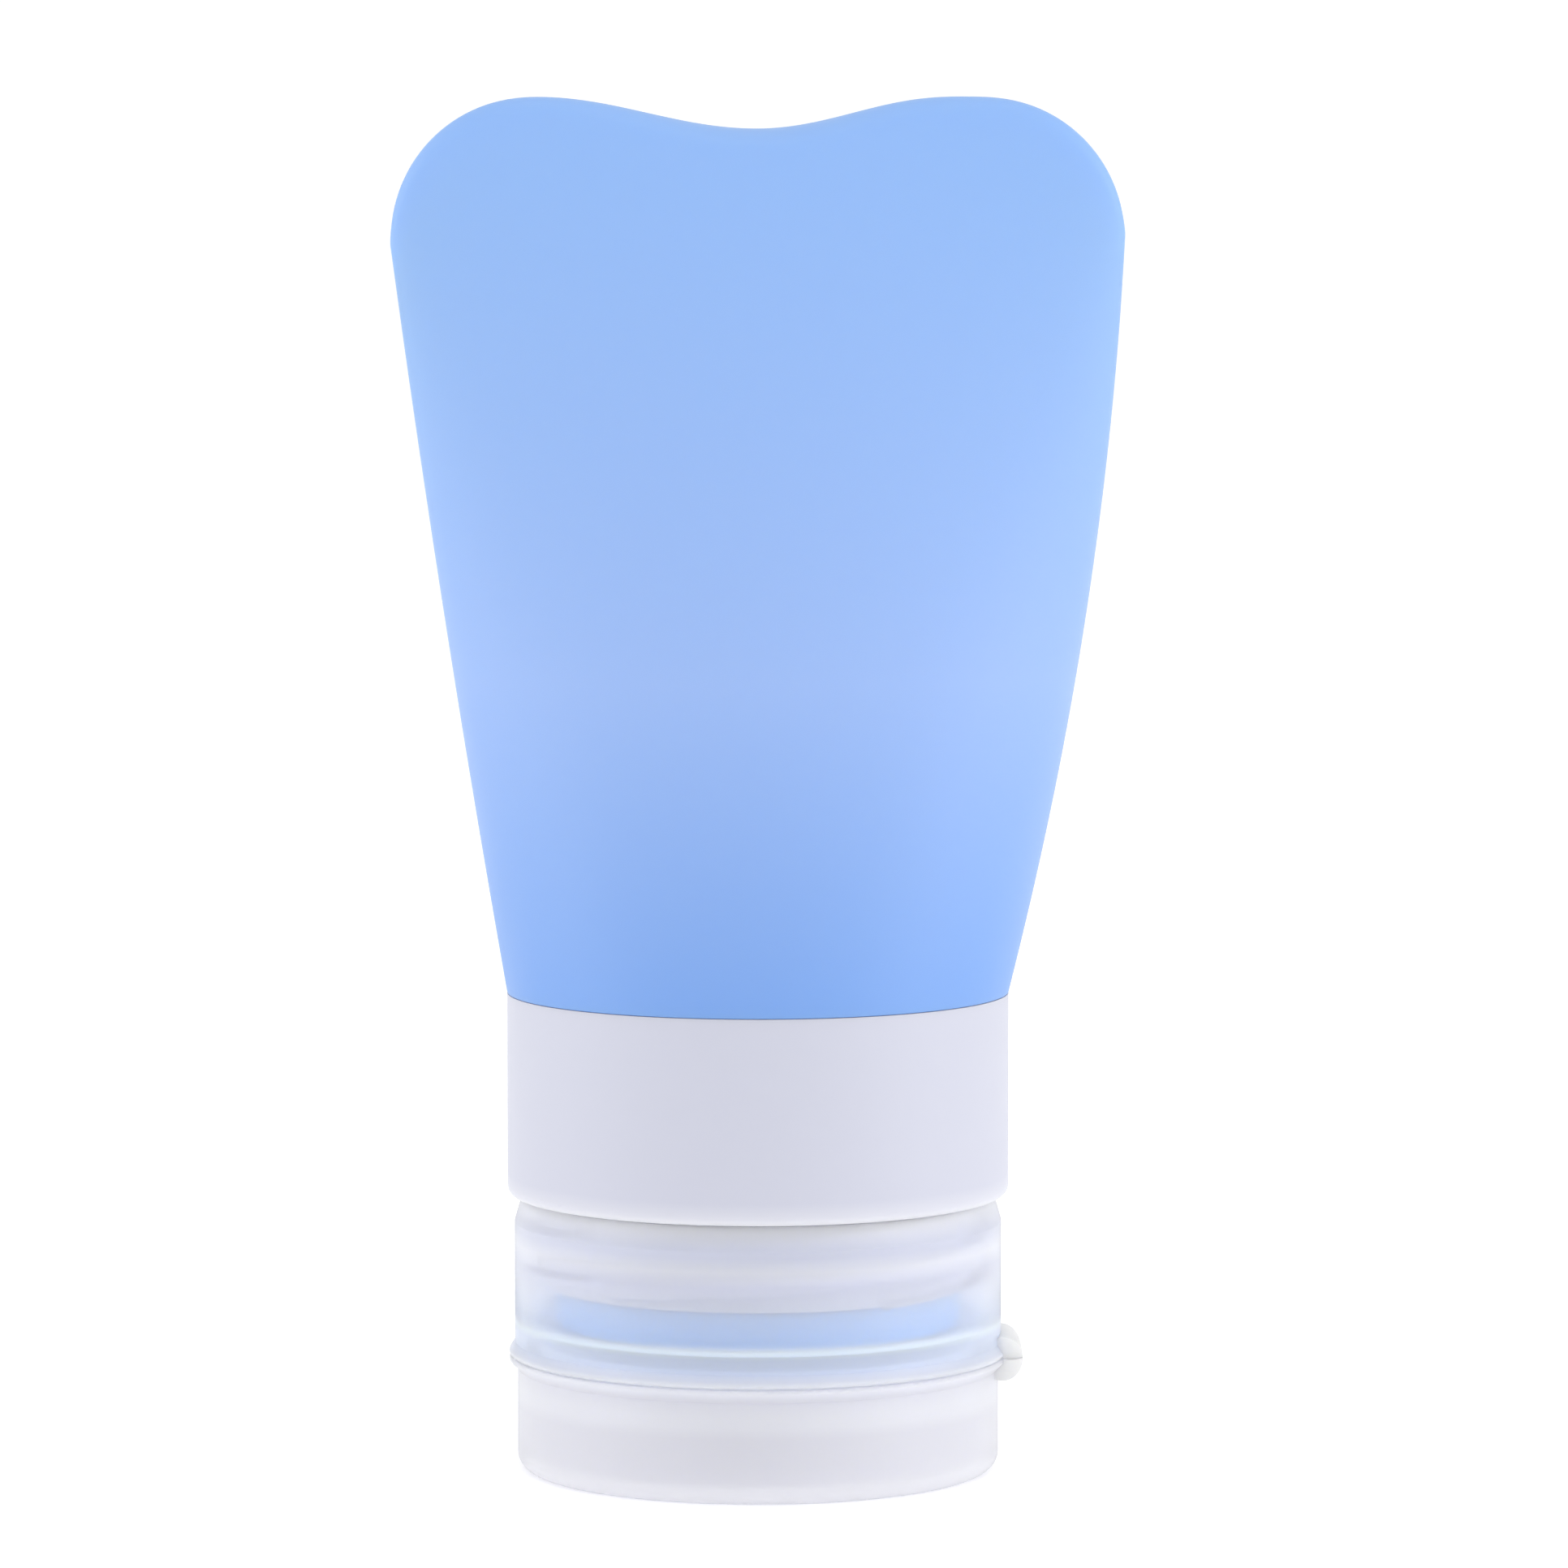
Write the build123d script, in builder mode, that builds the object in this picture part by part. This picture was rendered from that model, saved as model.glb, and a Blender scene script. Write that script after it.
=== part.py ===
from build123d import *
import os

# A silicone squeeze bottle that stands on its flip cap, in millimetres, +Z up the bottle.
# The origin is the centre of the lid's flat outer face, +X is the hinge side, -Y the front.

# Flip lid, a shallow cup that closes the bottom
lid_height = 8.4
lid_wall = 1.2
lid_floor = 1.3
lid_edge_round = 1.3
lid_step = 0.2  # how far the lid stands in from the cap base
lid_fit = 0.3  # gap between the lid's wall and the shoulder that it closes over
seam_gap = 0.1
plug_wall = 1.1
plug_round = 0.5
plug_clear = 0.3  # from the plug's end to the spout's inner face
seal_inset = 1.4  # from the spout's side in to the sealing ring
seal_wall = 0.8

# The two lips that meet at the seam
lip_proud = 0.4
lip_height = 0.3
lip_taper = 0.65  # height over which each lip runs back into its wall
lip_round = 0.2

# Cap base, the threaded part of the cap
base_wall = 1.3
base_chamfer_in = 0.5
base_chamfer_up = 1.8
deck_thickness = 1.3
deck_recess = 0.8  # from the seam in to the deck's outer face
shoulder_reach = 2.2  # from the seam into the lid
shoulder_wall = 1.1
shoulder_round = 0.3
spout_reach = 4.1  # from the deck's outer face
spout_wall = 1.2
spout_face = 1.3
spout_round = 0.6
spout_face_width = 4.3  # from the spout's side in to the orifice
plug_fit = 0.3

# Slit valve behind the orifice
valve_fit = 0.1
valve_flange = 1.2
valve_skin = 0.6
valve_rise = 1.6
valve_bead_width = 1.4
slit_length = 6.4
slit_width = 0.2

# Retainer that holds the valve in the spout
retainer_wall = 2.0
retainer_lip = 1.6
retainer_lip_height = 0.8
retainer_clear = 2.2  # from the neck's bore in to the retainer's lip

# Collar with its threaded spigot
collar_radius = 18.25
collar_height = 14.8
collar_wall = 1.6
collar_web = 2.0
collar_round = 0.75
collar_gap = 0.1  # from the cap base up to the collar
spigot_step = 3.0  # from the collar's side in to the spigot's
spigot_wall = 1.6
spigot_length = 6.55

# Two-start right-hand thread between the spigot and the cap base
thread_starts = 2
thread_spacing = 3.0
thread_depth = 0.9
thread_root_width = 1.5
thread_crest_width = 0.8
thread_fit = 0.3
thread_sink = 0.3  # how far each ridge is rooted in its wall
thread_margin = 0.25
thread_front_rise = 1.7  # from the spigot's end up to the ridge at the front

# Silicone body
body_height = 65.05
body_overhang = 0.05  # past the collar's side
body_widest_half = 26.6
body_side_bulge = 0.86
body_top_half_depth = 2.0
body_depth_bulge = 0.5
body_wall = 1.5
body_rim = 2.6  # solid margin along the closed end
body_rim_round = 0.8
corner_width = 9.3
corner_height = 10.9
corner_clear = 0.2  # how far the corner arcs start outside the wedge's sides
wave_dip = 2.3
neck_wall = 1.5
neck_fit = 0.1
gasket_height = 2.9
gasket_margin = 0.5
gasket_round = 0.5

# Living hinge, two rounded leaves that meet at a film
hinge_width = 7.0
hinge_round = 1.2  # at the ends of the hinge, seen from above
hinge_bow = 1.15  # from the lips out to the film
hinge_rise = 0.65  # from a lip's end to the end of its leaf

overrun = 1.0
front_angle = -90.0
level_shares = (0.0, 0.2, 0.4, 0.6, 0.8, 1.0)

# Levels and radii that follow from the sizes above
seam_level = lid_height + seam_gap
seam_middle = lid_height + seam_gap / 2
deck_outer = seam_level + deck_recess
deck_inner = deck_outer + deck_thickness
spout_tip = deck_outer - spout_reach
spout_inner = spout_tip + spout_face
plug_top = spout_inner - plug_clear
seal_top = spout_tip - seam_gap
gasket_bottom = deck_inner + seam_gap
spigot_bottom = gasket_bottom + gasket_height
collar_bottom = spigot_bottom + spigot_length
base_top = collar_bottom - collar_gap
collar_top = collar_bottom + collar_height
body_top = collar_top + body_height
body_widest_rise = body_height - corner_height
body_neck_half = collar_radius + body_overhang
spigot_radius = collar_radius - spigot_step
thread_crest_radius = spigot_radius + thread_depth
base_bore = thread_crest_radius + thread_fit
base_radius = base_bore + base_wall
lid_radius = base_radius - lid_step
lid_bore = lid_radius - lid_wall
lip_radius = base_radius + lip_proud
shoulder_radius = lid_bore - lid_fit
hinge_reach = lip_proud + hinge_bow
hinge_half_height = lip_height + lip_taper + hinge_rise
thread_lead = thread_spacing * thread_starts
thread_front_level = spigot_bottom + thread_front_rise
collar_bore = collar_radius - collar_wall
spigot_bore = spigot_radius - spigot_wall
neck_radius = spigot_bore - neck_fit
neck_bore = neck_radius - neck_wall
valve_radius = neck_bore - retainer_clear - retainer_lip
spout_bore = valve_radius + valve_fit
spout_radius = spout_bore + spout_wall
orifice_radius = spout_radius - spout_face_width
seal_radius = spout_radius - seal_inset
upper_neck_radius = collar_bore - neck_fit
upper_neck_bore = upper_neck_radius - neck_wall
web_top = collar_bottom + collar_web


def corner(sketch, x, y):
    """The vertex of a sketch nearest to a point."""
    return sketch.vertices().sort_by_distance((x, y, 0))[0]


def thread_ridge(root_radius, crest_radius, first_level, last_level, front_level):
    """One start of a thread, turned so that it passes the front at front_level."""
    side = 1 if crest_radius > root_radius else -1
    depth = abs(crest_radius - root_radius)
    flank_share = (thread_root_width - thread_crest_width) / depth
    sunk_width = thread_root_width + flank_share * thread_sink
    first_angle = front_angle - 360 * (front_level - first_level) / thread_lead
    with BuildPart() as ridge:
        with BuildLine() as path:
            Helix(thread_lead, last_level - first_level, root_radius, (0, 0, first_level))
        start = Plane(path.line @ 0, x_dir=(side, 0, 0), z_dir=path.line % 0)
        with BuildSketch(start) as profile:
            with BuildLine():
                Polyline(
                    (-thread_sink, -sunk_width / 2),
                    (depth, -thread_crest_width / 2),
                    (depth, thread_crest_width / 2),
                    (-thread_sink, sunk_width / 2),
                    close=True,
                )
            make_face()
        sweep(profile.sketch, path.line, is_frenet=True)
    return ridge.part.rotate(Axis.Z, first_angle)


def half_width(rise):
    """Half the body's width at a height above the collar, along its gently bowed side."""
    share = rise / body_widest_rise
    straight = body_neck_half + (body_widest_half - body_neck_half) * share
    return straight + body_side_bulge * 4 * share * (1 - share)


def half_depth(rise):
    """Half the body's depth at a height above the collar, narrowing like a tube's wedge."""
    share = rise / body_height
    straight = body_neck_half + (body_top_half_depth - body_neck_half) * share
    return straight + body_depth_bulge * 4 * share * (1 - share)


def body_form(bottom, top, inset):
    """The body's wedge between two levels, brought in all round by inset."""
    with BuildPart() as form:
        for share in level_shares:
            level = bottom + (top - bottom) * share
            rise = level - collar_top
            wide = half_width(rise) - inset
            deep = half_depth(rise) - inset
            with BuildSketch(Plane.XY.offset(level)):
                Ellipse(wide, deep)
        loft()
    return form.part


def front_outline(inset):
    """The body's front view: straight sides, round corners and a wave along the closed end."""
    shoulder_level = collar_top + body_widest_rise
    lobe_half = body_widest_half - corner_width
    side_half = body_widest_half + corner_clear - inset
    top = body_top - inset
    with BuildSketch(Plane.XZ) as outline:
        with BuildLine():
            Line((0, 0), (side_half, 0))
            Line((side_half, 0), (side_half, shoulder_level))
            EllipticalCenterArc(
                (lobe_half, shoulder_level),
                side_half - lobe_half,
                top - shoulder_level,
                start_angle=0,
                arc_size=90,
            )
            Spline((lobe_half, top), (0, top - wave_dip), tangents=((-1, 0), (-1, 0)))
            Line((0, top - wave_dip), (0, 0))
        make_face()
        mirror(about=Plane.YZ)
    return outline.sketch


def lipped_wall(radius, seam, side):
    """The cap base's or lid's outside with its lip, filled, to cut a hinge leaf by."""
    with BuildPart() as wall:
        with BuildSketch(Plane.XZ):
            with BuildLine():
                Polyline(
                    (0, seam),
                    (lip_radius, seam),
                    (lip_radius, seam + side * lip_height),
                    (radius, seam + side * (lip_height + lip_taper)),
                    (radius, seam + side * lid_height),
                    (0, seam + side * lid_height),
                    close=True,
                )
            make_face()
        revolve(axis=Axis.Z)
    return wall.part


def hinge_plan():
    """A block with the hinge's rounded ends, as seen from above."""
    with BuildPart() as block:
        with BuildSketch():
            RectangleRounded((base_radius + hinge_reach) * 2, hinge_width, hinge_round)
        extrude(amount=base_top)
    return block.part


def write(piece, name):
    """Names a finished piece and writes its file."""
    piece.part.label = name
    export_step(piece.part, f"parts/{name}.step")


# Fluid space: the wedge inside the body and the bore of its neck
with BuildPart() as fluid_space:
    add(body_form(collar_top + body_wall, body_top, body_wall))
    extrude(front_outline(body_rim), body_neck_half + overrun, both=True, mode=Mode.INTERSECT)
    with BuildSketch(Plane.XZ):
        with BuildLine():
            Polyline(
                (0, gasket_bottom - overrun),
                (neck_bore, gasket_bottom - overrun),
                (neck_bore, web_top + neck_fit),
                (upper_neck_bore, web_top + neck_fit + neck_wall),
                (upper_neck_bore, collar_top + body_wall + overrun),
                (0, collar_top + body_wall + overrun),
                close=True,
            )
        make_face()
    revolve(axis=Axis.Z)

# Squeeze body: a wedge that narrows to a wavy closed end, its foot on the collar
with BuildPart() as squeeze_body:
    add(body_form(collar_top, body_top + overrun, 0))
    extrude(front_outline(0), body_neck_half + overrun, both=True, mode=Mode.INTERSECT)
    rim_level = collar_top + body_widest_rise
    rim_edges = squeeze_body.edges().filter_by(lambda edge: edge.center().Z > rim_level)
    long_edges = rim_edges.filter_by(lambda edge: abs(edge.center().Y) > body_rim_round)
    fillet(long_edges.filter_by(lambda edge: edge.length > corner_width), body_rim_round)
    add(fluid_space.part, mode=Mode.SUBTRACT)

# Neck of the same moulding: it runs down through the collar and folds out as a gasket
with BuildPart() as body_neck:
    gasket_radius = spigot_radius - gasket_margin
    with BuildSketch(Plane.XZ) as neck_profile:
        with BuildLine():
            Polyline(
                (0, gasket_bottom),
                (gasket_radius, gasket_bottom),
                (gasket_radius, spigot_bottom),
                (neck_radius, spigot_bottom),
                (neck_radius, web_top + neck_fit),
                (upper_neck_radius, web_top + neck_fit),
                (upper_neck_radius, collar_top),
                (0, collar_top),
                close=True,
            )
        make_face()
        fillet(corner(neck_profile, gasket_radius, gasket_bottom), gasket_round)
        fillet(corner(neck_profile, gasket_radius, spigot_bottom), gasket_round)
    revolve(axis=Axis.Z)
    add(fluid_space.part, mode=Mode.SUBTRACT)

# Collar: a ring round the upper neck, a web and the threaded spigot
with BuildPart() as collar:
    with BuildSketch(Plane.XZ) as collar_profile:
        with BuildLine():
            Polyline(
                (spigot_bore, spigot_bottom),
                (spigot_radius, spigot_bottom),
                (spigot_radius, collar_bottom),
                (collar_radius, collar_bottom),
                (collar_radius, collar_top),
                (collar_bore, collar_top),
                (collar_bore, web_top),
                (spigot_bore, web_top),
                close=True,
            )
        make_face()
        fillet(corner(collar_profile, collar_radius, collar_bottom), collar_round)
    revolve(axis=Axis.Z)
    spigot_ridge = thread_ridge(
        spigot_radius,
        thread_crest_radius,
        spigot_bottom + thread_margin + thread_root_width / 2,
        collar_bottom - thread_margin - thread_root_width / 2,
        thread_front_level,
    )
    with PolarLocations(0, thread_starts):
        add(spigot_ridge)

# Cap base: threaded wall, deck and the shoulder that the lid closes over
with BuildPart() as cap_base:
    with BuildSketch(Plane.XZ) as base_profile:
        with BuildLine():
            Polyline(
                (shoulder_radius, seam_level),
                (lip_radius, seam_level),
                (lip_radius, seam_level + lip_height),
                (base_radius, seam_level + lip_height + lip_taper),
                (base_radius, base_top - base_chamfer_up),
                (base_radius - base_chamfer_in, base_top),
                (base_bore, base_top),
                (base_bore, deck_inner),
                (spout_bore, deck_inner),
                (spout_bore, deck_outer),
                (shoulder_radius - shoulder_wall, deck_outer),
                (shoulder_radius - shoulder_wall, seam_level - shoulder_reach),
                (shoulder_radius, seam_level - shoulder_reach),
                close=True,
            )
        make_face()
        fillet(corner(base_profile, lip_radius, seam_level), lip_round)
        fillet(corner(base_profile, lip_radius, seam_level + lip_height), lip_round)
        fillet(corner(base_profile, shoulder_radius, seam_level - shoulder_reach), shoulder_round)
    revolve(axis=Axis.Z)
    cap_ridge = thread_ridge(
        base_bore,
        base_bore - thread_depth,
        spigot_bottom + thread_root_width / 2,
        base_top - thread_margin - thread_root_width / 2,
        thread_front_level + thread_spacing / 2,
    )
    with PolarLocations(0, thread_starts):
        add(cap_ridge)

# Spout of the same moulding: a short tube under the deck, with the orifice in its face
with BuildPart() as spout:
    with BuildSketch(Plane.XZ) as spout_profile:
        with BuildLine():
            Polyline(
                (spout_bore, deck_outer),
                (spout_bore, spout_inner),
                (orifice_radius, spout_inner),
                (orifice_radius, spout_tip),
                (spout_radius, spout_tip),
                (spout_radius, deck_outer),
                close=True,
            )
        make_face()
        fillet(corner(spout_profile, spout_radius, spout_tip), spout_round)
    revolve(axis=Axis.Z)

# Flip lid: a cup with a plug for the orifice and a ring that seals on the spout's face
with BuildPart() as flip_lid:
    with BuildSketch(Plane.XZ) as lid_profile:
        with BuildLine():
            Polyline(
                (0, 0),
                (lid_radius, 0),
                (lid_radius, lid_height - lip_height - lip_taper),
                (lip_radius, lid_height - lip_height),
                (lip_radius, lid_height),
                (lid_bore, lid_height),
                (lid_bore, lid_floor),
                (0, lid_floor),
                close=True,
            )
        make_face()
        fillet(corner(lid_profile, lid_radius, 0), lid_edge_round)
        fillet(corner(lid_profile, lip_radius, lid_height - lip_height), lip_round)
        fillet(corner(lid_profile, lip_radius, lid_height), lip_round)
    revolve(axis=Axis.Z)
    plug_radius = orifice_radius - plug_fit
    with BuildSketch(Plane.XZ) as plug_profile:
        with BuildLine():
            Polyline(
                (plug_radius - plug_wall, lid_floor),
                (plug_radius, lid_floor),
                (plug_radius, plug_top),
                (plug_radius - plug_wall, plug_top),
                close=True,
            )
        make_face()
        fillet(corner(plug_profile, plug_radius, plug_top), plug_round)
    revolve(axis=Axis.Z)
    with BuildSketch(Plane.XZ):
        with BuildLine():
            Polyline(
                (seal_radius - seal_wall, lid_floor),
                (seal_radius, lid_floor),
                (seal_radius, seal_top),
                (seal_radius - seal_wall, seal_top),
                close=True,
            )
        make_face()
    revolve(axis=Axis.Z)

# Slit valve: a flange, a domed skin that rises into the bottle and two crossed slits
valve_bottom = spout_inner + valve_fit
with BuildPart() as slit_valve:
    skin_radius = valve_radius - valve_bead_width
    skin_top = valve_bottom + valve_skin
    with BuildSketch(Plane.XZ):
        with BuildLine():
            Line((0, valve_bottom + valve_rise), (0, skin_top + valve_rise))
            RadiusArc(
                (0, skin_top + valve_rise),
                (skin_radius, skin_top),
                (skin_radius**2 + valve_rise**2) / (2 * valve_rise),
            )
            Line((skin_radius, skin_top), (skin_radius, valve_bottom + valve_flange))
            Line(
                (skin_radius, valve_bottom + valve_flange),
                (valve_radius, valve_bottom + valve_flange),
            )
            Line((valve_radius, valve_bottom + valve_flange), (valve_radius, valve_bottom))
            Line((valve_radius, valve_bottom), (skin_radius, valve_bottom))
            RadiusArc(
                (skin_radius, valve_bottom),
                (0, valve_bottom + valve_rise),
                -(skin_radius**2 + valve_rise**2) / (2 * valve_rise),
            )
        make_face()
    revolve(axis=Axis.Z)
    with BuildSketch(Plane.XY.offset(valve_bottom)):
        Rectangle(slit_length, slit_width)
        Rectangle(slit_width, slit_length)
    extrude(amount=valve_rise + valve_skin + overrun, mode=Mode.SUBTRACT)

# Valve retainer: a ring in the spout with a lip that rests on the deck
with BuildPart() as valve_retainer:
    retainer_bottom = valve_bottom + valve_flange
    lip_bottom = deck_inner + seam_gap
    with BuildSketch(Plane.XZ):
        with BuildLine():
            Polyline(
                (valve_radius - retainer_wall, retainer_bottom),
                (valve_radius, retainer_bottom),
                (valve_radius, lip_bottom),
                (valve_radius + retainer_lip, lip_bottom),
                (valve_radius + retainer_lip, lip_bottom + retainer_lip_height),
                (valve_radius - retainer_wall, lip_bottom + retainer_lip_height),
                close=True,
            )
        make_face()
    revolve(axis=Axis.Z)

# Hinge leaves: the two halves of a rounded bump, split at the film that they bend by
with BuildSketch(Plane.XZ) as leaf_profile:
    with Locations((base_radius, seam_middle)):
        Ellipse(hinge_reach, hinge_half_height)
with BuildPart() as hinge_leaf_base:
    extrude(leaf_profile.sketch, hinge_width / 2, both=True)
    add(hinge_plan(), mode=Mode.INTERSECT)
    add(lipped_wall(base_radius, seam_level, 1), mode=Mode.SUBTRACT)
    split(bisect_by=Plane.XY.offset(seam_level), keep=Keep.TOP)
with BuildPart() as hinge_leaf_lid:
    extrude(leaf_profile.sketch, hinge_width / 2, both=True)
    add(hinge_plan(), mode=Mode.INTERSECT)
    add(lipped_wall(lid_radius, lid_height, -1), mode=Mode.SUBTRACT)
    split(bisect_by=Plane.XY.offset(lid_height), keep=Keep.BOTTOM)

pieces = {
    "squeeze_body": squeeze_body,
    "body_neck": body_neck,
    "collar": collar,
    "cap_base": cap_base,
    "spout": spout,
    "flip_lid": flip_lid,
    "hinge_leaf_base": hinge_leaf_base,
    "hinge_leaf_lid": hinge_leaf_lid,
    "slit_valve": slit_valve,
    "valve_retainer": valve_retainer,
}
os.makedirs("parts", exist_ok=True)
for name, piece in pieces.items():
    write(piece, name)

print("height", body_top, "hinge axis x", base_radius + hinge_reach + seam_gap, "z", seam_middle)
print("fluid space in ml", fluid_space.part.volume / 1000)
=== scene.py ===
# Travel squeeze bottle: blue silicone body, milky collar and a frosted flip cap
import math

import bmesh
import bpy
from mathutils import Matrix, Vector


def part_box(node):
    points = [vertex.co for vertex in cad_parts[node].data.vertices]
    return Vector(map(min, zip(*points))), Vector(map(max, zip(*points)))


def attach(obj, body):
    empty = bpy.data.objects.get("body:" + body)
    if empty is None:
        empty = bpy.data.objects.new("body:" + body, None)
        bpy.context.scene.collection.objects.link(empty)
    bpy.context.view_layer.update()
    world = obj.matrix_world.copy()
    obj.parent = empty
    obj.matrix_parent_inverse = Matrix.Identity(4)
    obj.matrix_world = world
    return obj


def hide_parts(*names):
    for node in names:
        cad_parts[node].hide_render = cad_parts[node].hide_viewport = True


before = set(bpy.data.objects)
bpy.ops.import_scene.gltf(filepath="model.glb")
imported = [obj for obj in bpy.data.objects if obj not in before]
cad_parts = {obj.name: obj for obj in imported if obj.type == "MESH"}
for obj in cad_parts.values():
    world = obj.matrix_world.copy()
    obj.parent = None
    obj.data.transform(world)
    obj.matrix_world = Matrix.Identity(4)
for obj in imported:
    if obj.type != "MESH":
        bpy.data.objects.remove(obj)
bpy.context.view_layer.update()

mm = 0.001
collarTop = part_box("collar")[1].z
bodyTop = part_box("squeeze_body")[1].z
print("frame loaded")


def setSockets(node, values):
    for name, value in values.items():
        node.inputs[name].default_value = value


# Colour with its alpha, from a colour or from one grey
def toRgba(tone):
    return (*tone, 1) if isinstance(tone, tuple) else (tone, tone, tone, 1)


def newMaterial(name):
    material = bpy.data.materials.new(name)
    material.use_nodes = True
    tree = material.node_tree
    return material, tree.nodes, tree.links, tree.nodes["Principled BSDF"]


def addNoise(nodes, links, scale, detail):
    place = nodes.new("ShaderNodeTexCoord")
    noise = nodes.new("ShaderNodeTexNoise")
    setSockets(noise, {"Scale": scale, "Detail": detail})
    links.new(place.outputs["Object"], noise.inputs["Vector"])
    return noise.outputs["Fac"]


# Gloss that drifts softly over the surface
def addCloud(nodes, links, shader, finish):
    cloud = addNoise(nodes, links, finish["cloudScale"], finish["cloudDetail"])
    span = nodes.new("ShaderNodeMapRange")
    low, high = finish["roughness"]
    setSockets(span, {"To Min": low, "To Max": high})
    links.new(cloud, span.inputs["Value"])
    links.new(span.outputs["Result"], shader.inputs["Roughness"])


# Fine grain of the mould, as a slight bump
def addGrain(nodes, links, shader, finish):
    grain = addNoise(nodes, links, finish["grainScale"], finish["grainDetail"])
    bump = nodes.new("ShaderNodeBump")
    setSockets(bump, {"Strength": finish["grainStrength"], "Distance": finish["grainDepth"]})
    links.new(grain, bump.inputs["Height"])
    links.new(bump.outputs["Normal"], shader.inputs["Normal"])


# Light that goes into the surface and comes out close by
def setGlow(shader, finish):
    setSockets(shader, {
        "Subsurface Weight": finish["glow"],
        "Subsurface Scale": finish["glowReach"],
        "Subsurface Radius": finish["glowTint"],
    })


# Tone that changes with height, from stops of a level in mm and a colour or grey
def addLevels(nodes, links, stops):
    place = nodes.new("ShaderNodeTexCoord")
    split = nodes.new("ShaderNodeSeparateXYZ")
    links.new(place.outputs["Object"], split.inputs["Vector"])
    low, high = stops[0][0] * mm, stops[-1][0] * mm
    climb = nodes.new("ShaderNodeMapRange")
    setSockets(climb, {"From Min": low, "From Max": high})
    links.new(split.outputs["Z"], climb.inputs["Value"])
    ramp = nodes.new("ShaderNodeValToRGB")
    bands = ramp.color_ramp.elements
    bands[0].color = toRgba(stops[0][1])
    bands[1].color = toRgba(stops[-1][1])
    for level, tone in stops[1:-1]:
        bands.new((level * mm - low) / (high - low)).color = toRgba(tone)
    links.new(climb.outputs["Result"], ramp.inputs["Fac"])
    return ramp.outputs["Color"]


studio = {
    "surround": (0.8, 0.88),  # brightness of the white room on the bottle, from below and above
    "backdrop": 1.05,  # brightness of the white room behind it
    "floorColour": (0.94, 0.94, 0.95),
    "floorRoughness": 0.9,
    "floorGloss": 0.1,
    "floorGlow": 0.22,
    "floorSize": 80.0,
    "lampTarget": (0, 0, 50 * mm),
    "lamps": {  # place, size, watts
        "leftLamp": ((-1.2, -0.1, 0.4), 0.9, 3.6),
        "rightLamp": ((1.16, -0.31, 0.4), 0.9, 4.7),
        "topLamp": ((0.1, -0.3, 1.4), 0.8, 1.5),
    },
}


def makeRoom():
    scene = bpy.context.scene
    scene.view_settings.view_transform = "Standard"
    world = bpy.data.worlds.new("studioWorld")
    scene.world = world
    world.use_nodes = True
    nodes, links = world.node_tree.nodes, world.node_tree.links
    place = nodes.new("ShaderNodeTexCoord")
    split = nodes.new("ShaderNodeSeparateXYZ")
    links.new(place.outputs["Generated"], split.inputs["Vector"])
    room = nodes.new("ShaderNodeMapRange")
    below, above = studio["surround"]
    setSockets(room, {"From Min": -1, "To Min": below, "To Max": above})
    links.new(split.outputs["Z"], room.inputs["Value"])
    ray = nodes.new("ShaderNodeLightPath")
    strength = nodes.new("ShaderNodeMapRange")
    setSockets(strength, {"To Max": studio["backdrop"]})
    links.new(room.outputs["Result"], strength.inputs["To Min"])
    links.new(ray.outputs["Is Camera Ray"], strength.inputs["Value"])
    setSockets(nodes["Background"], {"Color": (1, 1, 1, 1)})
    links.new(strength.outputs["Result"], nodes["Background"].inputs["Strength"])


def makeFloor():
    bm = bmesh.new()
    bmesh.ops.create_grid(bm, x_segments=1, y_segments=1, size=studio["floorSize"] / 2)
    mesh = bpy.data.meshes.new("floor")
    bm.to_mesh(mesh)
    bm.free()
    material, *_, shader = newMaterial("paleFloor")
    setSockets(shader, {
        "Base Color": toRgba(studio["floorColour"]),
        "Roughness": studio["floorRoughness"],
        "Specular IOR Level": studio["floorGloss"],
        "Emission Color": (1, 1, 1, 1),
        "Emission Strength": studio["floorGlow"],
    })
    mesh.materials.append(material)
    floor = bpy.data.objects.new("floor", mesh)
    bpy.context.scene.collection.objects.link(floor)


def makeLamps():
    for name, (spot, size, watts) in studio["lamps"].items():
        light = bpy.data.lights.new(name, "AREA")
        light.energy = watts
        light.size = size
        lamp = bpy.data.objects.new(name, light)
        lamp.location = spot
        aim = Vector(studio["lampTarget"]) - lamp.location
        lamp.rotation_euler = aim.to_track_quat("-Z", "Y").to_euler()
        bpy.context.scene.collection.objects.link(lamp)


camera = {
    "distance": 595 * mm,
    "pitch": 4.9,  # degrees that it looks down by
    "target": (1.9 * mm, 0, 50.1 * mm),
    "lens": 188,
    "clipStart": 10 * mm,
}


def makeCamera():
    scene = bpy.context.scene
    data = bpy.data.cameras.new("photoCamera")
    data.lens = camera["lens"]
    data.clip_start = camera["clipStart"]
    eye = bpy.data.objects.new("photoCamera", data)
    pitch = math.radians(camera["pitch"])
    back = Vector((0, -math.cos(pitch), math.sin(pitch)))
    eye.location = Vector(camera["target"]) + back * camera["distance"]
    eye.rotation_euler = (-back).to_track_quat("-Z", "Y").to_euler()
    scene.collection.objects.link(eye)
    scene.camera = eye


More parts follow.
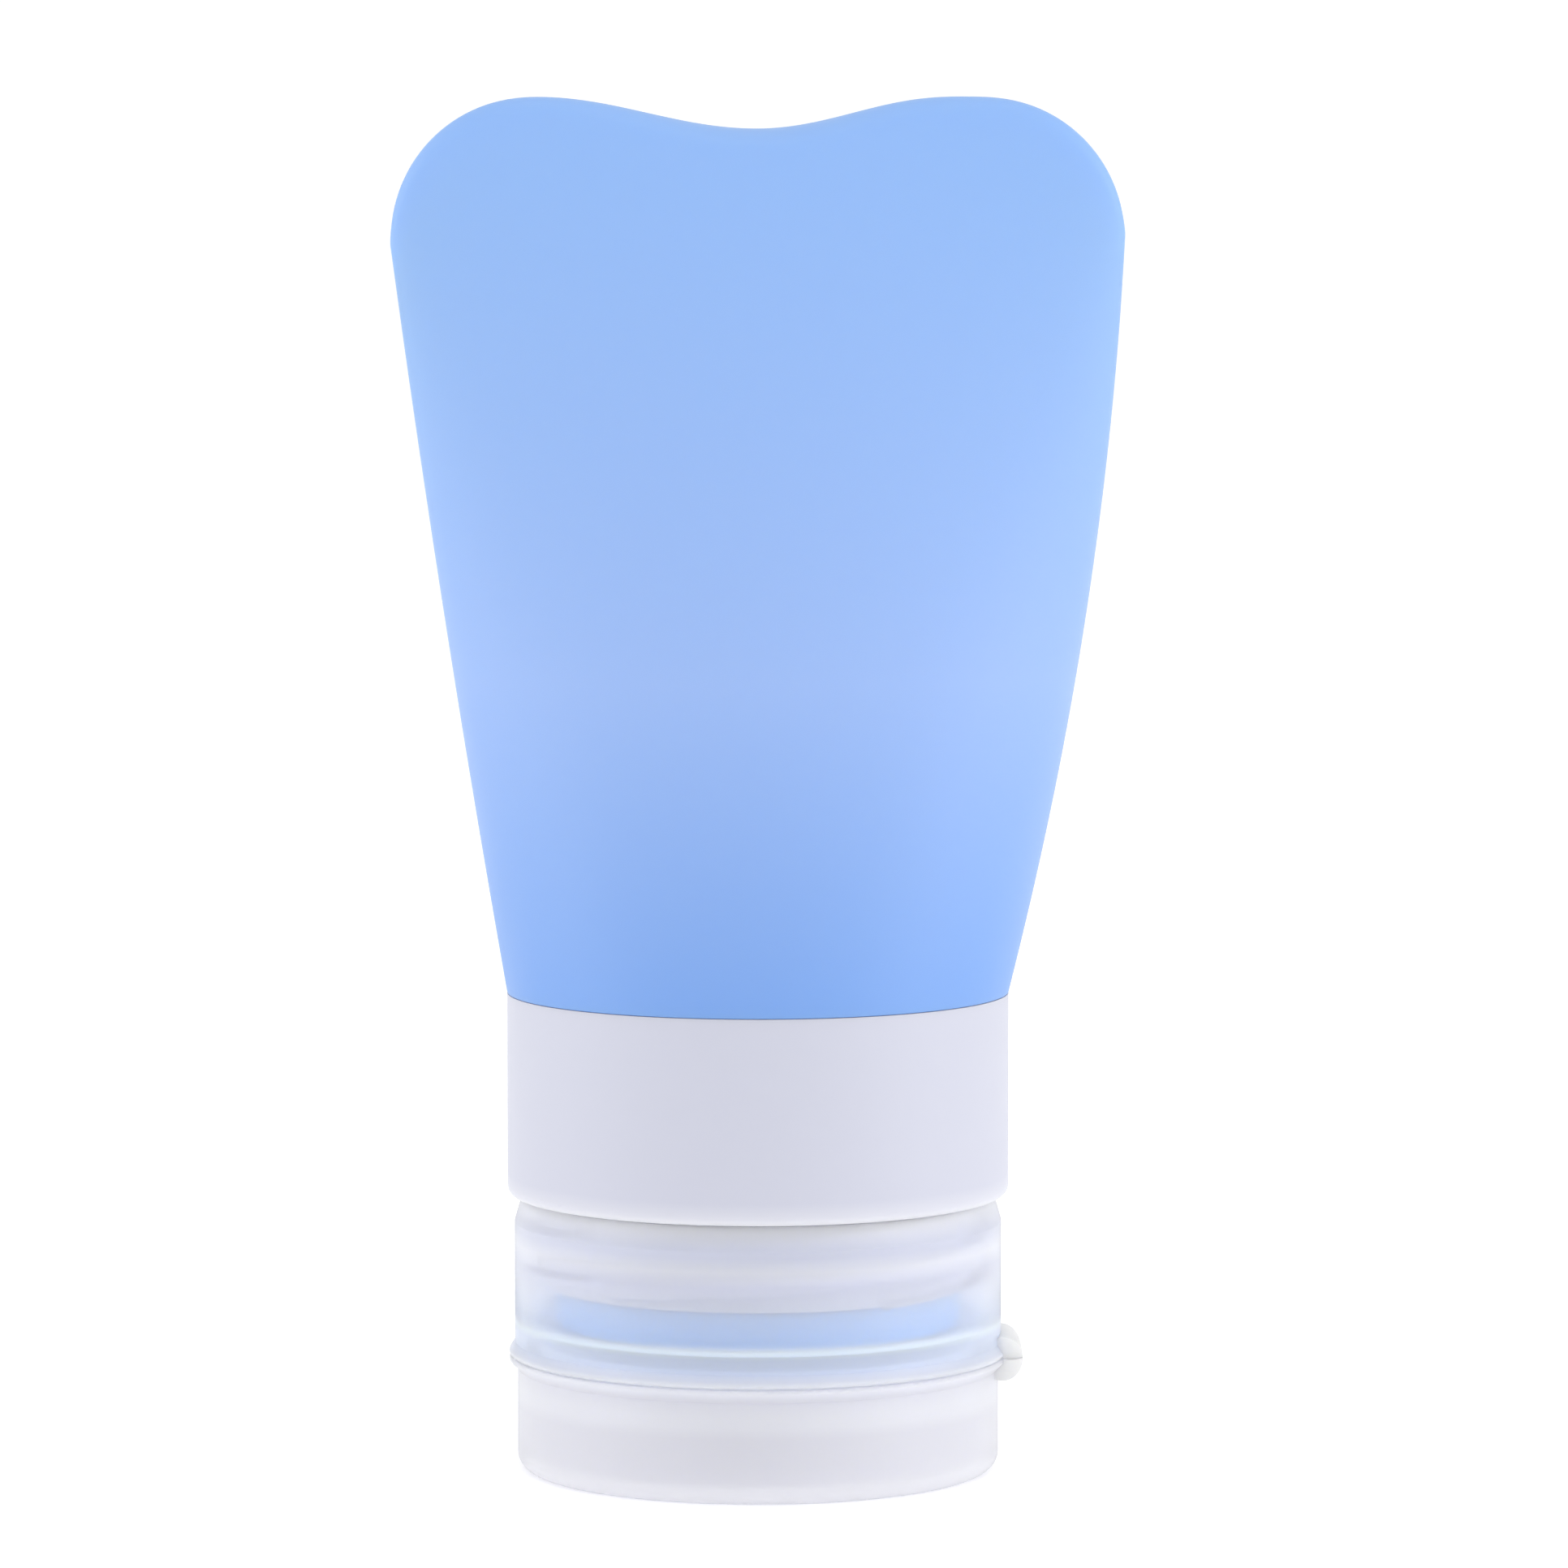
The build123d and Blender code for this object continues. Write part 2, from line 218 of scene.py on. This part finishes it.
silicone = {
    "levels": (  # mm, colour; stronger in the neck and gasket, to show through the cap, and darker just above the collar
        (10.7, (0.21, 0.52, 0.93)),
        (33.0, (0.21, 0.52, 0.93)),
        (34.9, (0.19, 0.36, 0.755)),
        (58.0, (0.31, 0.46, 0.815)),
        (100.0, (0.265, 0.455, 0.835)),
    ),
    "roughness": (0.42, 0.52),
    "cloudScale": 120,
    "cloudDetail": 3,
    "grainScale": 2200,
    "grainDetail": 4,
    "grainStrength": 0.05,
    "grainDepth": 0.05 * mm,
    "ior": 1.41,
    "glow": 0.25,
    "glowReach": 1.5 * mm,
    "glowTint": (0.5, 0.8, 1.0),
}


def siliconeMaterial():
    material, nodes, links, shader = newMaterial("blueSilicone")
    links.new(addLevels(nodes, links, silicone["levels"]), shader.inputs["Base Color"])
    addCloud(nodes, links, shader, silicone)
    addGrain(nodes, links, shader, silicone)
    setGlow(shader, silicone)
    setSockets(shader, {"IOR": silicone["ior"]})
    return material


bodyShape = {
    "segments": 64,
    "smoothLevels": 2,
    "outerShares": (0.06, 0.14, 0.23, 0.32, 0.41, 0.5, 0.59, 0.68, 0.76, 0.83, 0.89, 0.94),
    "innerShares": (0.12, 0.26, 0.4, 0.54, 0.68, 0.82, 0.92, 1.0),
    "neckHalf": 18.3 * mm,
    "widestHalf": 26.6 * mm,
    "widestRise": 54.75 * mm,  # above the collar
    "bulge": {"left": 0.3 * mm, "right": 1.45 * mm},
    "lobeHalf": 16.4 * mm,  # from the middle to where a corner's arc ends
    "waveReach": {"left": 16.0 * mm, "right": 13.8 * mm},
    "waveDip": 2.35 * mm,
    "cornerTurn": math.radians(45),  # columns this near to the x axis end on a corner's arc
    "cornerDrop": {"left": math.radians(8), "right": math.radians(3)},  # arc below the widest point
    "rimHalf": 1.85 * mm,
    "rimTurns": (0, 25, 50, 72),  # degrees round the rim where the rings lie
    "depthBulge": 0.5 * mm,
    "topHalfDepth": 2.0 * mm,
    "wall": 1.5 * mm,
    "rimWall": 2.6 * mm,
    "footRise": 0.16 * mm,
    "mergeReach": 0.001 * mm,
    # Radius and level in mm of each ring down the neck, round the gasket and up the bore
    "neckRings": (
        (18.28, 35.03), (18.2, 34.96), (17.9, 34.95), (17.1, 34.95), (16.57, 34.85),
        (16.55, 34.3), (16.55, 22.85), (16.55, 22.35), (16.05, 22.25), (14.05, 22.25),
        (13.55, 22.15), (13.55, 21.5), (13.55, 14.2), (13.6, 13.65), (14.05, 13.6),
        (14.45, 13.6), (14.7, 13.45), (14.75, 13.1), (14.75, 11.3), (14.7, 10.85),
        (14.35, 10.7), (13.85, 10.7), (12.55, 10.7), (12.15, 10.75), (12.05, 11.1),
        (12.05, 21.8), (12.1, 22.25), (14.85, 23.85), (15.05, 24.45), (15.05, 33.8),
        (15.15, 35.35), (15.85, 36.25),
    ),
}


def sideOf(x, pair):
    return pair["right"] if x > 0 else pair["left"]


# Share of a side's bow: 0 at both ends and 1 in the middle
def bow(share):
    return 4 * share * (1 - share)


# Point on the closed end's outline where a column ends
def rimPoint(angle):
    shape = bodyShape
    shoulder = collarTop + shape["widestRise"]
    side = 1 if math.cos(angle) > 0 else -1
    turn = math.asin(min(1, abs(math.sin(angle))))
    if turn < shape["cornerTurn"]:
        drop = sideOf(side, shape["cornerDrop"])
        arc = (math.pi / 2 + drop) * turn / shape["cornerTurn"] - drop
        x = shape["lobeHalf"] + (shape["widestHalf"] - shape["lobeHalf"]) * math.cos(arc)
        z = shoulder + (bodyTop - shoulder) * math.sin(arc)
    else:
        rest = (turn - shape["cornerTurn"]) / (math.pi / 2 - shape["cornerTurn"])
        x = shape["lobeHalf"] * (1 - rest)
        phase = math.pi * min(1, x / sideOf(side, shape["waveReach"]))
        z = bodyTop - shape["waveDip"] * (0.5 + 0.5 * math.cos(phase))
    return Vector((side * x, 0, z))


# Half the body's depth at a level, on its way from the round neck to the flat end
def halfDepth(level):
    shape = bodyShape
    share = (level - collarTop) / (bodyTop - collarTop)
    straight = shape["neckHalf"] + (shape["topHalfDepth"] - shape["neckHalf"]) * share
    return straight + shape["depthBulge"] * bow(share)


def columnStart(angle, wall, foot):
    return Vector(((bodyShape["neckHalf"] - wall) * math.cos(angle), 0, foot))


# How far along its column a point lies that is short of the rim by inset
def columnShare(angle, wall, foot, inset):
    return 1 - inset / (rimPoint(angle) - columnStart(angle, wall, foot)).length


# Point on a column, which runs from the round neck to the rim
def columnPoint(angle, share, wall, foot):
    shape = bodyShape
    point = columnStart(angle, wall, foot).lerp(rimPoint(angle), share)
    across = math.cos(angle)
    point.x += sideOf(across, shape["bulge"]) * bow(share) * across
    point.y = (halfDepth(point.z) - wall) * math.sin(angle)
    return point


def makeBody():
    shape = bodyShape
    bm = bmesh.new()
    count = shape["segments"]
    bmesh.ops.create_circle(bm, segments=count, radius=shape["neckHalf"])
    angles = bm.verts.layers.float.new("angle")
    for vert in bm.verts:  # turned by half a step, so that no column stands on the x axis
        vert[angles] = math.atan2(vert.co.y, vert.co.x) + math.pi / count
    startEdges = list(bm.edges)
    foot = collarTop + shape["footRise"]

    def placeColumns(verts, share, wall, inset):
        for vert in verts:
            reach = columnShare(vert[angles], wall, foot, inset)
            vert.co = columnPoint(vert[angles], share * reach, wall, foot)

    # Rings that turn the wall over the rim, towards its middle plane
    def placeRim(verts, turn):
        for vert in verts:
            angle, inset = vert[angles], shape["rimHalf"]
            last = columnPoint(angle, columnShare(angle, 0, foot, inset), 0, foot)
            inset *= 1 - math.sin(turn)
            vert.co = columnPoint(angle, columnShare(angle, 0, foot, inset), 0, foot)
            vert.co.y = last.y * math.cos(turn)

    def placeRound(verts, radius, level):
        for vert in verts:
            angle = vert[angles]
            vert.co = (radius * math.cos(angle), radius * math.sin(angle), level)

    def extrudeRing(edges):
        grown = bmesh.ops.extrude_edge_only(bm, edges=edges)["geom"]
        verts = [item for item in grown if isinstance(item, bmesh.types.BMVert)]
        return verts, [item for item in grown if isinstance(item, bmesh.types.BMEdge)]

    # Bridges the front half of the last ring to the back half, without the edges at its two ends
    def closeEnd(edges):
        halves = [edge for edge in edges if edge.verts[0].co.y * edge.verts[1].co.y >= 0]
        bmesh.ops.bridge_loops(bm, edges=halves)

    placeColumns(bm.verts, 0, 0, 0)
    edges = startEdges
    for share in shape["outerShares"]:
        verts, edges = extrudeRing(edges)
        placeColumns(verts, share, 0, shape["rimHalf"])
    for turn in shape["rimTurns"]:
        verts, edges = extrudeRing(edges)
        placeRim(verts, math.radians(turn))
    closeEnd(edges)
    edges = startEdges
    for radius, level in shape["neckRings"]:
        verts, edges = extrudeRing(edges)
        placeRound(verts, radius * mm, level * mm)
    foot = collarTop + shape["wall"]
    for share in shape["innerShares"]:
        verts, edges = extrudeRing(edges)
        placeColumns(verts, share, shape["wall"], shape["rimWall"])
    closeEnd(edges)
    bmesh.ops.remove_doubles(bm, verts=bm.verts, dist=shape["mergeReach"])
    bmesh.ops.recalc_face_normals(bm, faces=bm.faces)
    for face in bm.faces:
        face.smooth = True
    mesh = bpy.data.meshes.new("siliconeBody")
    bm.to_mesh(mesh)
    bm.free()
    mesh.materials.append(siliconeMaterial())
    body = bpy.data.objects.new("siliconeBody", mesh)
    bpy.context.scene.collection.objects.link(body)
    smooth = body.modifiers.new("smooth", "SUBSURF")
    smooth.levels = shape["smoothLevels"]
    smooth.render_levels = shape["smoothLevels"]
    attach(body, "bottle")
    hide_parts("squeeze_body", "body_neck")


collarPlastic = {
    "levels": (  # mm, colour
        # lighter at the bottom rim: a painted highlight along the collar's lower edge
        (20.15, (0.78, 0.78, 0.8)),
        (20.7, (0.64, 0.645, 0.71)),
        (21.8, (0.57, 0.58, 0.67)),
        (34.95, (0.57, 0.58, 0.67)),
    ),
    "roughness": (0.38, 0.5),
    "cloudScale": 150,
    "cloudDetail": 2,
    "grainScale": 1800,
    "grainDetail": 3,
    "grainStrength": 0.04,
    "grainDepth": 0.05 * mm,
    "ior": 1.49,
    "glow": 0.3,
    "glowReach": 1.5 * mm,
    "glowTint": (1.0, 1.0, 1.0),
}


def collarMaterial():
    material, nodes, links, shader = newMaterial("milkyPlastic")
    links.new(addLevels(nodes, links, collarPlastic["levels"]), shader.inputs["Base Color"])
    addCloud(nodes, links, shader, collarPlastic)
    addGrain(nodes, links, shader, collarPlastic)
    setGlow(shader, collarPlastic)
    setSockets(shader, {"IOR": collarPlastic["ior"]})
    return material


frosted = {
    "capColourAndPaintedLight": (  # mm, colour of lid, cap base and spout, with painted light at the seam, at 11 mm and under the collar
        (0.0, (0.78, 0.78, 0.82)),
        (4.8, (0.78, 0.78, 0.82)),
        (5.6, (0.83, 0.835, 0.87)),
        (6.3, (0.83, 0.835, 0.87)),
        (7.6, (0.79, 0.79, 0.83)),
        # lighter round the seam: painted light over the seam's shade and a painted highlight on the
        # lip
        (8.25, (0.9, 0.91, 0.97)),
        (8.65, (0.9, 0.92, 0.99)),
        (9.0, (0.76, 0.795, 0.94)),
        (9.6, (0.72, 0.785, 0.96)),
        (10.5, (0.72, 0.785, 0.96)),
        # pale line: a painted highlight on the gasket's lower edge seen through the cap
        (11.0, (0.82, 0.9, 0.99)),
        (11.4, (0.82, 0.86, 0.95)),
        (14.0, (0.8, 0.815, 0.87)),
        (15.7, (0.745, 0.76, 0.85)),
        # lighter band: painted light under the collar
        (16.8, (0.84, 0.85, 0.9)),
        (17.8, (0.74, 0.76, 0.86)),
        (18.4, (0.74, 0.76, 0.86)),
        # lighter up to the top edge: painted light where the collar's shade falls on the cap
        (20.05, (0.91, 0.915, 0.96)),
    ),
    "hingeColour": (0.88, 0.88, 0.87),
    "clearness": (  # mm, share of light that goes straight in
        (0.0, 0.42),
        (7.6, 0.42),
        (8.6, 0.4),
        (11.0, 0.4),
        (11.5, 0.74),
        (14.3, 0.66),
        (16.0, 0.48),
        (20.0, 0.46),
    ),
    "shadowColour": (0.93, 0.93, 0.96),  # tints the light that falls on what lies inside
    "roughness": (0.26, 0.34),
    "cloudScale": 150,
    "cloudDetail": 2,
    "grainScale": 1800,
    "grainDetail": 3,
    "grainStrength": 0.04,
    "grainDepth": 0.05 * mm,
    "ior": 1.06,  # low, so that what lies inside isn't bent out of sight
    "glow": 0.9,
    "glowReach": 1.5 * mm,
    "glowTint": (1.0, 1.0, 1.1),
    "coat": 0.4,
    "coatIor": 1.49,
    "coatRoughness": 0.35,
}


# Frosted plastic with levels of colour, or in the hinge's one colour
def frostedMaterial(name, levels=None):
    material, nodes, links, shader = newMaterial(name)
    if levels:
        links.new(addLevels(nodes, links, levels), shader.inputs["Base Color"])
    else:
        setSockets(shader, {"Base Color": toRgba(frosted["hingeColour"])})
    clearness = addLevels(nodes, links, frosted["clearness"])
    links.new(clearness, shader.inputs["Transmission Weight"])
    addCloud(nodes, links, shader, frosted)
    addGrain(nodes, links, shader, frosted)
    setGlow(shader, frosted)
    setSockets(shader, {
        "IOR": frosted["ior"],
        "Coat Weight": frosted["coat"],
        "Coat IOR": frosted["coatIor"],
        "Coat Roughness": frosted["coatRoughness"],
    })
    clear = nodes.new("ShaderNodeBsdfTransparent")
    setSockets(clear, {"Color": toRgba(frosted["shadowColour"])})
    ray = nodes.new("ShaderNodeLightPath")
    mix = nodes.new("ShaderNodeMixShader")
    links.new(ray.outputs["Is Shadow Ray"], mix.inputs[0])
    links.new(shader.outputs["BSDF"], mix.inputs[1])
    links.new(clear.outputs["BSDF"], mix.inputs[2])
    links.new(mix.outputs["Shader"], nodes["Material Output"].inputs["Surface"])
    return material


valveRubber = {
    "colour": (0.8, 0.82, 0.86),
    "roughness": (0.3, 0.4),
    "cloudScale": 400,
    "cloudDetail": 2,
    "ior": 1.41,
    "glow": 0.4,
    "glowReach": 1 * mm,
    "glowTint": (1.0, 0.2, 0.1),
}


def valveMaterial():
    material, nodes, links, shader = newMaterial("valveSilicone")
    addCloud(nodes, links, shader, valveRubber)
    setGlow(shader, valveRubber)
    colour = toRgba(valveRubber["colour"])
    setSockets(shader, {"Base Color": colour, "IOR": valveRubber["ior"]})
    return material


retainerPlastic = {
    "colour": (0.82, 0.83, 0.86),
    "roughness": (0.35, 0.5),
    "cloudScale": 300,
    "cloudDetail": 2,
    "ior": 1.49,
}


def retainerMaterial():
    material, nodes, links, shader = newMaterial("retainerPlastic")
    addCloud(nodes, links, shader, retainerPlastic)
    colour = toRgba(retainerPlastic["colour"])
    setSockets(shader, {"Base Color": colour, "IOR": retainerPlastic["ior"]})
    return material


def dressNodes():
    capPlastic = frostedMaterial("frostedPlastic", frosted["capColourAndPaintedLight"])
    hingePlastic = frostedMaterial("hingePlastic")
    finishes = {
        "collar": collarMaterial(),
        "cap_base": capPlastic,
        "spout": capPlastic,
        "flip_lid": capPlastic,
        "hinge_leaf_base": hingePlastic,
        "hinge_leaf_lid": hingePlastic,
        "slit_valve": valveMaterial(),
        "valve_retainer": retainerMaterial(),
    }
    for name, material in finishes.items():
        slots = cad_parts[name].data.materials
        slots.clear()
        slots.append(material)


makeRoom()
makeFloor()
makeLamps()
print("studio ready")
makeCamera()
print("camera ready")
makeBody()
print("silicone body ready")
dressNodes()
print("finishes ready")
